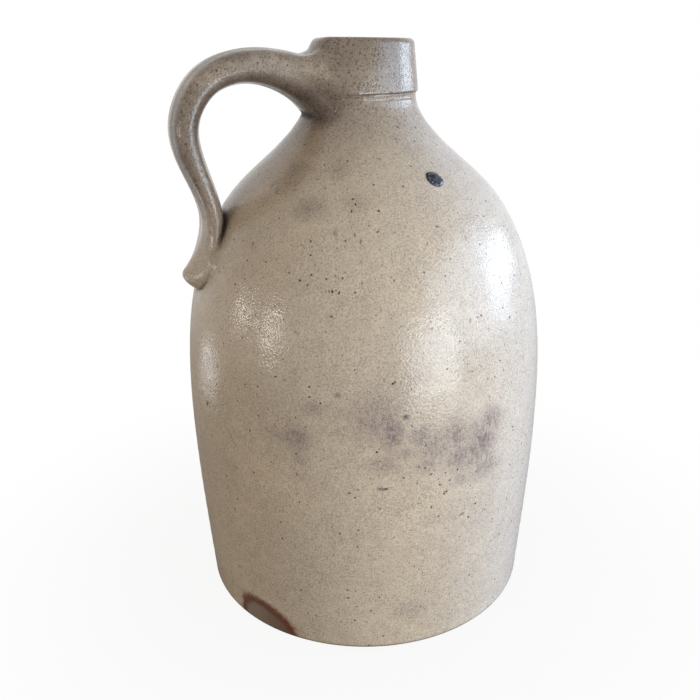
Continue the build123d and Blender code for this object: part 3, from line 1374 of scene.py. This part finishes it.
    def peppered(
        self, graph: NodeGraph, where: Outputs, noise: Socket, smoked: Socket, colour: Socket
    ) -> Socket:
        """Fine brown flecks, which crowd on smoked clay, and grey clouds where the fire flashed the glaze.

        Args:
            graph: the material's nodes.
            where: outputs that give the place on the pot.
            noise: noise about zero that breaks the edges.
            smoked: mask of the smoked clay.
            colour: the colour so far.

        Returns:
            The flecked colour.
        """
        cloud = self.blots(graph, Blot.FLASH, where, noise)
        stretched = graph.vector("MULTIPLY", graph.object_place(), self.streak_stretch)
        streaks = graph.ramp(graph.noise(stretched, self.streak_scale, 3.0, 0.75), *self.streaks)
        cloud = graph.times(cloud, streaks)
        crowd = graph.plus(graph.times(cloud, self.flash_crowding), graph.times(smoked, self.smoke_crowding))
        crowd = graph.plus(crowd, self.fleck_share)
        node = IronSpecks().place(graph, scale=self.fleck_scale, size=self.fleck_size, share=crowd)
        dark = graph.larger(cloud, graph.times(smoked, self.smoke_darkening))
        strength = graph.ramp(dark, *self.fleck_strength)
        colour = graph.mix(graph.times(cloud, self.flash_share), colour, self.flash)
        return graph.mix(graph.times(node.outputs[0], strength), colour, self.pepper)

    def painted_crease_shade(self, graph: NodeGraph, where: Outputs, strap: Socket, noise: Socket) -> Socket:
        """Painted shade in the crease under the handle and in the tooled line under the collar's band.

        Args:
            graph: the material's nodes.
            where: outputs that give the place on the pot.
            strap: mask of the handle and the clay wiped from it.
            noise: noise about zero that breaks the line.

        Returns:
            The mask of the painted shade.
        """
        # Painted shade: the stored crease mark darkens the gap under the handle's root and the tail's tip,
        # and the line darkens the groove under the band.
        deep = graph.stored("crease")
        apart = graph.math("ABSOLUTE", graph.minus(where["Height"], self.line_height))
        line = graph.ramp(graph.plus(apart, graph.times(noise, self.line_wander)), *self.line_shade)
        line = graph.times(line, graph.ramp(strap, *self.line_off_strap))
        line = graph.times(line, graph.ramp(where["Radius"], *self.line_outside))
        return graph.larger(graph.times(deep, self.crease_shade_strength), line)

    def foot(self, graph: NodeGraph, where: Outputs, noise: Socket, colour: Socket) -> tuple[Socket, Socket]:
        """Scorch ring at the foot, painted shade along its bottom edge and the bare clay underneath.

        Args:
            graph: the material's nodes.
            where: outputs that give the place on the pot.
            noise: noise about zero that breaks the edges.
            colour: the colour so far.

        Returns:
            The colour and the mask of bare clay.
        """
        middle = radians(self.scorch_bearing) * PotPlace.girth
        ragged = graph.times(noise, self.scorch_ragged)
        size = (*self.scorch_size, 1.0)
        node = Patch().place(graph, place=where["Place"], centre=(middle, 0.0, 0.0), size=size, ragged=ragged)
        right = graph.minus(graph.node("SeparateXYZ", {0: where["Place"]}).outputs["X"], middle)
        side = graph.plus(graph.over(right, -self.scorch_side), ragged)
        edge = graph.math("SMOOTH_MAX", node.outputs["Edge"], side, self.scorch_rounding)
        ash = graph.mix(graph.ramp(right, *self.ash_turn), self.ash, self.burnt_ash)
        colour = graph.mix(graph.ramp(edge, *self.toasted_edge), colour, self.toasted)
        colour = graph.mix(graph.ramp(edge, *self.ash_edge), colour, ash)
        ring = graph.times(graph.ramp(edge, *self.ring_outer), graph.ramp(edge, *self.ring_inner))
        colour = graph.mix(graph.times(ring, self.ring_share), colour, self.scorch)
        # Painted shade: a dark band along the foot's bottom edge.
        foot_shade_height = graph.plus(where["Height"], graph.times(noise, self.foot_shade_wander))
        foot_shade_mask = graph.ramp(foot_shade_height, *self.foot_shade_rise)
        colour = graph.mix(foot_shade_mask, colour, self.foot_shade)
        bare_height = graph.plus(where["Height"], graph.times(noise, self.bare_wander))
        bare = graph.ramp(bare_height, *self.foot_bare)
        return graph.mix(bare, colour, self.clay), bare


@dataclass(frozen=True)
class BrownSlip:
    """Glossy brown slip that lines the inside, thin and lighter where it ran."""

    dark: Colour = srgb(52, 31, 22)
    light: Colour = srgb(96, 60, 38)
    black: Colour = (0.006, 0.004, 0.003)
    runs: Clouding = Clouding(60.0, 0.25)
    run_share: float = 0.6
    specks: Specks = Specks(400.0, 0.25, 0.2, 0.7)
    roughness: Ramp = (0.0, 1.0, 0.14, 0.3)
    ior: float = 1.5
    peel_scale: float = 300.0
    peel_depth: float = 0.08
    peel_strength: float = 0.6

    def material(self) -> bpy.types.Material:
        """Build the slip as a material.

        Returns:
            The material.
        """
        made, graph = blank("brown_slip")
        runs = self.runs.tone(graph)
        colour = graph.mix(graph.times(runs, self.run_share), self.dark, self.light)
        colour = graph.mix(self.specks.mask(graph), colour, self.black)
        height = OrangePeel().place(graph, scale=self.peel_scale).outputs[0]
        normal = graph.bump(height, self.peel_depth, self.peel_strength)
        glazed(graph, colour, graph.ramp(runs, *self.roughness), normal, self.ior)
        return made


@dataclass(frozen=True)
class KilnGlass:
    """Blue-black glass that dripped from the kiln's roof, seeded with grey flecks."""

    deep: Colour = srgb(12, 13, 18)
    blue: Colour = srgb(66, 74, 90)
    fleck: Colour = srgb(150, 154, 162)
    swirl: Clouding = Clouding(620.0, 0.14)
    blue_swirl: tuple[float, float] = (0.3, 1.0)
    flecks: Specks = Specks(1100.0, 0.5, 0.2, 0.8)
    roughness: Ramp = (0.0, 1.0, 0.1, 0.25)
    ior: float = 1.4
    ripple_scale: float = 520.0
    ripple_depth: float = 0.2

    def material(self) -> bpy.types.Material:
        """Build the glass as a material.

        Returns:
            The material.
        """
        made, graph = blank("kiln_glass")
        swirl = self.swirl.tone(graph)
        colour = graph.mix(graph.ramp(swirl, *self.blue_swirl), self.deep, self.blue)
        colour = graph.mix(self.flecks.mask(graph), colour, self.fleck)
        height = OrangePeel().place(graph, scale=self.ripple_scale).outputs[0]
        normal = graph.bump(height, self.ripple_depth)
        glazed(graph, colour, graph.ramp(swirl, *self.roughness), normal, self.ior)
        return made


# Sub-assemblies.


def dressed(piece: bpy.types.Object, finish: bpy.types.Material, node: str) -> bpy.types.Object:
    """Give a piece its finish, put it on the body and let it stand for its CAD node.

    Args:
        piece: the object.
        finish: its material.
        node: the CAD node that the piece replaces.

    Returns:
        The same object.
    """
    piece.data.materials.append(finish)
    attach(piece, BODY)
    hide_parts(node)
    log.info("%s: %d faces", piece.name, len(piece.data.polygons))
    return piece


def turned(line: Array, columns: int, crowding: float) -> Array:
    """Points of a line turned about the wheel's axis.

    Args:
        line: (radius, height) points.
        columns: how many points round.
        crowding: how much closer the points stand on the handle's side, from 0 to 1.

    Returns:
        The points as rows, columns and XYZ, the first column towards the handle.
    """
    even = 2.0 * pi * np.arange(columns) / columns
    turn = even - crowding * np.sin(even)
    x = -line[:, :1] * np.cos(turn)
    y = -line[:, :1] * np.sin(turn)
    return np.stack([x, y, np.broadcast_to(line[:, 1:], x.shape)], axis=-1)


@dataclass
class ClayPiece:
    """A glazed piece of the jug's clay, wiped together with the others where the handle meets the pot."""

    node: ClassVar[str]
    pot: PotForm
    strap: StrapForm

    def build(self) -> bpy.types.Object:
        """Make the mesh."""
        raise NotImplementedError

    def made(self, grid: Array, loop: bool = False) -> bpy.types.Object:
        """Object over a grid of points, marked where the clay is the handle's, where the strap's underside
        is, and where shade is painted in the creases.

        Args:
            grid: points as rows, columns and XYZ.
            loop: whether the last row joins the first.

        Returns:
            The new object.
        """
        piece = skin("jug_" + self.node, grid, loop)
        pot, strap = self.pot, self.strap
        points = grid.reshape(-1, 3)
        along, outward, across, _ = strap.local(points)
        half_width, half_thickness = strap.halves(along)
        from_strap = strap.distance(points)
        apart = np.abs(from_strap) + np.abs(pot.distance(points))
        level = outward / half_thickness
        under = 1.0 - smooth(level, -0.7, -0.1)
        middle = 1.0 - smooth(np.abs(across) / half_width, 0.4, 0.85) * (along < 0.5 * strap.along[-1])
        # Painted shade: the crease mark darkens the gap under the handle's root and the line at the tail's
        # tip.
        gap = under * middle * (1.0 - smooth(apart, 0.4, 3.2))
        tip = 0.7 * smooth(along - strap.along[-1], -13.0, -6.0) * (1.0 - smooth(apart, 0.2, 1.6))
        mark_points(piece, "strap", 1.0 - smooth(from_strap, -1.0, 9.0))
        # The underside mark places painted shade, with smoke, under the handle's arch.
        mark_points(piece, "shaded_underside", 1.0 - smooth(level, -0.8, 0.5))
        mark_points(piece, "crease", np.maximum(gap, tip))
        return piece

    def dress(self, piece: bpy.types.Object, finish: bpy.types.Material) -> None:
        """Glaze the piece."""
        dressed(piece, finish, self.node)


@dataclass
class Body(ClayPiece):
    """The thrown vessel: foot, wall, shoulder and neck, and the hollow inside."""

    node: ClassVar[str] = "body"
    columns: int = 320
    crowding: float = 0.4
    clay: float = 7.6
    floor: float = 9.6
    floor_round: float = 16.0
    passage_radius: float = 14.5
    passage: float = 8.0
    base_hollow: float = 0.8
    row_gap: float = 2.2
    tail_closing: float = 1.1
    root_closing: float = 0.75
    base_gap: float = 8.0

    def spacing(self, points: Array) -> Array:
        """Distance between rows: close at the tail of the handle, closest at its root.

        Args:
            points: (radius, height) points.

        Returns:
            The distance wanted at each point.
        """
        height = points[:, 1]
        gap = self.row_gap - self.tail_closing * smooth(height, 140.0, 165.0)
        gap = gap - self.root_closing * smooth(height, self.pot.seat - 8.0, self.pot.seat - 4.0)
        under = (points[:, 0] < 0.9 * self.pot.base_radius) & (height < 1.0)
        return np.where(under, self.base_gap, gap)

    def outside(self) -> Array:
        """Draw the base, the rounded foot and the wall.

        Returns:
            (radius, height) points from close to the axis out and up to the seat.
        """
        foot_round = self.pot.foot_round
        lean = self.pot.base_lean
        centre = self.pot.base_radius - foot_round * (1.0 - sin(radians(lean))) / cos(radians(lean))
        stand = np.linspace(0.02 * centre, centre, 40)
        hollow = self.base_hollow * (1.0 - smooth(stand, 0.55 * centre, 0.93 * centre))
        base = np.stack([stand, hollow], axis=1)
        foot = arc((centre, foot_round), foot_round, -90.0, -lean, 12)
        wall = self.pot.wall()
        wall = spaced(wall[wall[:, 1] > foot[-1, 1] + 0.5], self.spacing)
        return np.concatenate([base[::4], foot, wall])

    def inside(self) -> Array:
        """Draw the passage and the hollow.

        Returns:
            (radius, height) points from the passage's upper edge down to the floor's middle.
        """
        seat = self.pot.seat
        corner_wall, upward = self.pot.wall_at(self.floor + self.floor_round)
        stations = [(corner_wall[0] - self.clay, corner_wall[1])]
        for height in (self.pot.belly[1], self.pot.shoulder[1], self.pot.crown[1]):
            point, along = self.pot.wall_at(height)
            stations.append((point[0] - self.clay * along[1], point[1] + self.clay * along[0]))
        stations.append((self.passage_radius, seat - self.passage))
        stations = np.array(stations)
        wall = drawn(stations, even_slopes(stations, upward, leaning(0.0)))
        wall = evenly(wall, 6.0)[::-1]
        corner = arc((wall[-1, 0] - self.floor_round, wall[-1, 1]), self.floor_round, 0.0, -90.0, 8)
        ledge = np.array([(self.passage_radius, seat), (self.passage_radius, seat - 0.5 * self.passage)])
        floor = np.linspace(corner[-1, 0], 1.0, 6)[1:]
        return np.concatenate([ledge, wall, corner[1:], np.stack([floor, np.full(5, self.floor)], axis=1)])

    def build(self) -> bpy.types.Object:
        """Make the mesh, wiped into the handle.

        Returns:
            The new object.
        """
        pot, strap = self.pot, self.strap
        outside = pot.unevenly(turned(self.outside(), self.columns, self.crowding))
        outside = wiped(outside, normals_of(outside), pot.distance, strap.distance, strap.wiping)
        return self.made(np.concatenate([outside, turned(self.inside(), self.columns, self.crowding)]))


@dataclass
class Collar(ClayPiece):
    """The tooled band round the mouth, with its rounded lip and the mouth's bore."""

    node: ClassVar[str] = "collar"
    columns: int = 288
    crowding: float = 0.3
    edge_gap: float = 0.22
    gap_opening: float = 0.45
    line_ends: tuple[float, float] = (35.0, 60.0)

    def build(self) -> bpy.types.Object:
        """Make the mesh, wiped into the handle.

        Returns:
            The new object.
        """
        pot = self.pot
        outside = spaced(pot.collar(), self.spacing)
        lip_low = pot.rim - pot.lip_round
        mouth_lip = arc((pot.mouth_radius + pot.lip_round, lip_low), pot.lip_round, 90.0, 180.0, 10)
        bore = [(pot.mouth_radius, height) for height in np.linspace(lip_low - 2.0, pot.seat, 8)]
        under = [(radius, pot.seat) for radius in np.linspace(pot.mouth_radius, pot.neck_radius, 6)[1:-1]]
        grid = turned(outside, self.columns, self.crowding)
        inner = np.concatenate([mouth_lip, bore, under])
        grid = np.concatenate([grid, turned(inner, self.columns, self.crowding)])
        grid = pot.unevenly(self.tooled(grid))
        rows = len(outside)
        level = grid[:rows] * np.array([1.0, 1.0, 0.0])
        level = level / np.linalg.norm(level, axis=2, keepdims=True)
        grid[:rows] = wiped(grid[:rows], level, pot.distance, self.strap.distance, self.strap.wiping)
        return self.made(grid, loop=True)

    def spacing(self, points: Array) -> Array:
        """Distance between rows: closest at the tooled edge under the band."""
        above_edge = points[:, 1] - self.pot.seat - self.pot.band_rise
        return self.edge_gap + self.gap_opening * smooth(above_edge, 0.0, 3.0)

    def tooled(self, grid: Array) -> Array:
        """Cut the second tooled line in under the band.

        Args:
            grid: points as rows, columns and XYZ.

        Returns:
            The points, drawn in along the line, which fades out where the handle covers it.
        """
        rise = (grid[..., 2] - self.pot.seat - self.pot.line_rise) / self.pot.line_half
        radius = np.hypot(grid[..., 0], grid[..., 1])
        turn = np.abs(np.arctan2(grid[..., 1], -grid[..., 0]))
        ends = [radians(angle) for angle in self.line_ends]
        depth = self.pot.line_depth * np.exp(-rise * rise) * smooth(turn, *ends)
        share = 1.0 - depth * (radius > 0.9 * self.pot.neck_radius) / radius
        return grid * np.stack([share, share, np.ones_like(share)], axis=-1)


@dataclass
class Handle(ClayPiece):
    """The pulled strap, pressed on to the collar and neck and wiped down on to the shoulder."""

    node: ClassVar[str] = "handle"
    columns: int = 120
    spacing: float = 0.48
    flutes: int = 3
    flute_depth: float = 0.28
    flute_twist: float = 0.02
    lump_depth: float = 0.18
    joint_clear: tuple[float, float] = (1.0, 10.0)
    hidden: float = 4.0

    def buried(self, grid: Array) -> Array:
        """Hold the hidden ends just under the pot's surface, clear of the mouth and the hollow.

        Args:
            grid: points as rows, columns and XYZ.

        Returns:
            The points, none much deeper in the pot than the hidden depth.
        """
        points = grid.reshape(-1, 3).copy()
        for _ in range(6):
            deep = np.minimum(self.pot.distance(points) + self.hidden, 0.0)
            reach = np.maximum(np.hypot(points[:, 0], points[:, 1]), 1.0)
            points[:, :2] *= (1.0 - deep / reach)[:, None]
        return points.reshape(grid.shape)

    def build(self) -> bpy.types.Object:
        """Make the mesh, wiped into the pot.

        Returns:
            The new object.
        """
        strap = self.strap
        base = strap.grid(self.columns, self.spacing)
        grid = wiped(base, normals_of(base), strap.distance, self.pot.distance, strap.wiping)
        flat = base.reshape(-1, 3)
        along, outward, across, _ = strap.local(flat)
        half_width, half_thickness = strap.halves(along)
        phase = 2.0 * pi * self.flutes * across / (2.0 * half_width) + self.flute_twist * along
        ridge = 0.5 - 0.5 * np.cos(phase)
        face = smooth(np.abs(outward) / half_thickness, 0.3, 0.8)
        lumps = np.sin(along / 9.0 + across / 6.0) * np.sin(along / 14.0 - across / 9.0 + 1.0)
        depth = self.flute_depth * ridge * face + self.lump_depth * (0.5 + 0.5 * lumps)
        clear = smooth(self.pot.distance(flat), *self.joint_clear)
        grid = grid - normals_of(base) * (depth * clear).reshape(grid.shape[:2])[..., None]
        return self.made(self.buried(grid))


@dataclass
class KilnDrop:
    """Bead of glass that fell on the shoulder."""

    pot: PotForm
    length: float = 9.0
    width: float = 8.6
    rise: float = 1.4
    sink: float = 0.5
    below_seat: float = 31.8
    bearing: float = 18.6
    tilt: float = -26.0
    rings: int = 18
    columns: int = 56

    def build(self) -> bpy.types.Object:
        """Make the mesh, seated on the wall.

        Returns:
            The new object.
        """
        point, up = self.pot.wall_at(self.pot.seat - self.below_seat)
        out = np.array([sin(radians(self.bearing)), -cos(radians(self.bearing)), 0.0])
        side = np.array([-out[1], out[0], 0.0])
        along = out * up[0] + np.array([0.0, 0.0, up[1]])
        outward = out * up[1] - np.array([0.0, 0.0, up[0]])
        centre = out * point[0] + np.array([0.0, 0.0, point[1]])
        turn = 2.0 * pi * np.arange(self.columns) / self.columns
        share = np.linspace(1.0, 0.04, self.rings)[:, None]
        edge = 0.97 + 0.02 * np.sin(3.0 * turn + 0.6) + 0.015 * np.sin(5.0 * turn + 2.0)
        a = 0.5 * self.length * share * edge * np.cos(turn)
        b = 0.5 * self.width * share * edge * np.sin(turn)
        u = a * cos(radians(self.tilt)) - b * sin(radians(self.tilt))
        v = a * sin(radians(self.tilt)) + b * cos(radians(self.tilt))
        dome = (1.0 - share**2.4) ** 0.6 * self.rise
        dome = dome * (1.0 + 0.12 * np.sin(1.3 * u + 0.5) * np.cos(1.1 * v))
        top = centre + u[..., None] * along + v[..., None] * side + (dome - 0.15)[..., None] * outward
        skirt = centre + u[:1, :, None] * along + v[:1, :, None] * side - self.sink * outward
        return skin("jug_kiln_drop", np.concatenate([skirt, top]))

    def dress(self, piece: bpy.types.Object, finish: bpy.types.Material) -> None:
        """Give the bead its glass."""
        dressed(piece, finish, "kiln_drop")


@dataclass
class Lining:
    """The coat of slip inside, which keeps its CAD shape."""

    node: str = "slip_lining"

    def dress(self, finish: bpy.types.Material) -> None:
        """Coat the hollow with slip.

        Args:
            finish: the slip's material.
        """
        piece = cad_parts[self.node]
        piece.data.materials.clear()
        piece.data.materials.append(finish)
        log.info("%s: %d faces", piece.name, len(piece.data.polygons))


@dataclass(frozen=True)
class Window:
    """A soft light that faces the jug from a bearing and an elevation, in metres and watts."""

    name: str
    bearing: float
    elevation: float
    distance: float
    width: float
    height: float
    power: float
    tint: Colour = (1.0, 1.0, 1.0)

    def build(self, target: Vector) -> None:
        """Make the light.

        Args:
            target: the point that the light faces.
        """
        light = bpy.data.lights.new(self.name, "AREA")
        light.shape = "RECTANGLE"
        light.size = self.width
        light.size_y = self.height
        light.energy = self.power
        light.color = self.tint
        bearing, elevation = radians(self.bearing), radians(self.elevation)
        level = cos(elevation)
        away = Vector((sin(bearing) * level, -cos(bearing) * level, sin(elevation)))
        lamp = bpy.data.objects.new(self.name, light)
        lamp.location = target + away * self.distance
        lamp.rotation_euler = away.to_track_quat("Z", "Y").to_euler()
        bpy.context.scene.collection.objects.link(lamp)


@dataclass
class Studio:
    """White floor and surroundings, windows whose light is strongest from the right, and the camera."""

    camera_azimuth: float = -19.0
    camera_distance: float = 399.8
    camera_height: float = 278.9
    camera_aim: float = 1.0
    camera_pitch: float = -21.2
    camera_roll: float = -0.87
    lens: float = 41.5
    sensor: float = 36.0
    floor_half: float = 6.0
    paper: Colour = (0.4, 0.38, 0.355)
    seen_white: Ramp = (0.08, 0.28, 0.92, 1.0)
    mirrored_white: tuple[float, float] = (0.15, 1.2)
    fill_above: float = 0.63
    fill_below: float = 0.168
    fill_tint: Colour = (1.0, 0.94, 0.84)
    target: Vector = field(default_factory=lambda: Vector((0.0, 0.0, 0.15)))
    windows: tuple[Window, ...] = (
        Window("bright_room", 57.0, 12.5, 1.5, 1.9, 0.95, 26.0, (0.58, 0.765, 1.0)),
        Window("right_window", 88.5, 9.6, 1.25, 0.7, 0.3, 4.6, (0.75, 0.88, 1.0)),
        Window("front_window", 21.0, -4.1, 0.5, 0.26, 0.215, 1.3, (0.86, 0.93, 1.0)),
        Window("left_window", -76.5, 2.4, 1.37, 0.22, 0.26, 2.1, (1.0, 0.98, 0.95)),
        Window("far_left_window", -98.5, 3.8, 1.36, 0.25, 0.11, 1.1, (1.0, 0.98, 0.95)),
        Window("low_window", -123.0, -16.7, 0.42, 0.12, 0.07, 0.075, (0.92, 0.97, 1.0)),
    )

    def build(self) -> None:
        """Make the camera, the floor, the surroundings and the lights."""
        self.place_camera()
        self.lay_floor()
        self.surround()
        for window in self.windows:
            window.build(self.target)
        bpy.context.scene.view_settings.view_transform = "Standard"

    def place_camera(self) -> None:
        """Stand the camera where the photograph was taken."""
        data = bpy.data.cameras.new("camera")
        data.sensor_width = self.sensor
        data.lens = self.lens
        data.clip_start = 0.01
        camera = bpy.data.objects.new("camera", data)
        azimuth = radians(self.camera_azimuth)
        reach = self.camera_distance * MM
        camera.matrix_world = (
            Matrix.Translation((reach * sin(azimuth), -reach * cos(azimuth), self.camera_height * MM))
            @ Matrix.Rotation(radians(self.camera_azimuth + self.camera_aim), 4, "Z")
            @ Matrix.Rotation(radians(90.0 + self.camera_pitch), 4, "X")
            @ Matrix.Rotation(radians(self.camera_roll), 4, "Z")
        )
        bpy.context.scene.collection.objects.link(camera)
        bpy.context.scene.camera = camera

    def seen_shares(self, graph: NodeGraph) -> tuple[Socket, Socket]:
        """1 for rays of the camera, else 0, and 1 for rays of reflections or through glass, else 0."""
        path = graph.node("LightPath").outputs
        return path["Is Camera Ray"], graph.larger(path["Is Glossy Ray"], path["Is Transmission Ray"])

    def lay_floor(self) -> None:
        """Lay a pale floor that looks white but keeps the jug's shadow."""
        half = self.floor_half
        mesh = bpy.data.meshes.new("floor")
        corners = [(-half, -half, 0.0), (half, -half, 0.0), (half, half, 0.0), (-half, half, 0.0)]
        mesh.from_pydata(corners, [], [(0, 1, 2, 3)])
        floor = bpy.data.objects.new("floor", mesh)
        bpy.context.scene.collection.objects.link(floor)
        made, graph = blank("pale_floor")
        paper = graph.node("BsdfDiffuse", {"Color": self.paper})
        white = graph.node("Emission", {"Color": (1.0, 1.0, 1.0), "Strength": 1.0})
        away = graph.vector("LENGTH", graph.object_place())
        camera, mirrored = self.seen_shares(graph)
        camera = graph.times(camera, graph.ramp(away, *self.seen_white))
        mirrored = graph.times(mirrored, graph.ramp(away, *self.mirrored_white))
        share = graph.larger(camera, mirrored)
        graph.end(graph.node("MixShader", {0: share, 1: paper.outputs[0], 2: white.outputs[0]}))
        mesh.materials.append(made)

    def surround(self) -> None:
        """Surround the jug with white that lights it softly."""
        world = bpy.data.worlds.new("studio")
        world.use_nodes = True
        graph = NodeGraph(world.node_tree)
        world.node_tree.nodes.clear()
        seen = graph.larger(*self.seen_shares(graph))
        way = graph.node("SeparateXYZ", {0: graph.node("TexCoord").outputs["Generated"]}).outputs["Z"]
        soft = graph.ramp(way, -0.6, 1.0, self.fill_below, self.fill_above)
        room = graph.vector("SCALE", self.fill_tint, soft)
        graph.end(graph.node("Background", {"Color": graph.mix(seen, room, (1.0, 1.0, 1.0))}), "OutputWorld")
        bpy.context.scene.world = world


def main() -> None:
    """Build the jug's pieces in order, dress them and light them, logging each piece's face count."""
    logging.basicConfig(level=logging.INFO, format="%(name)s %(message)s")
    pot = PotForm()
    strap = StrapForm(pot)
    glaze = SaltGlaze().material()
    for part in (Body(pot, strap), Collar(pot, strap), Handle(pot, strap)):
        part.dress(part.build(), glaze)
    drop = KilnDrop(pot)
    drop.dress(drop.build(), KilnGlass().material())
    Lining().dress(BrownSlip().material())
    Studio().build()


if __name__ == "__main__":
    main()
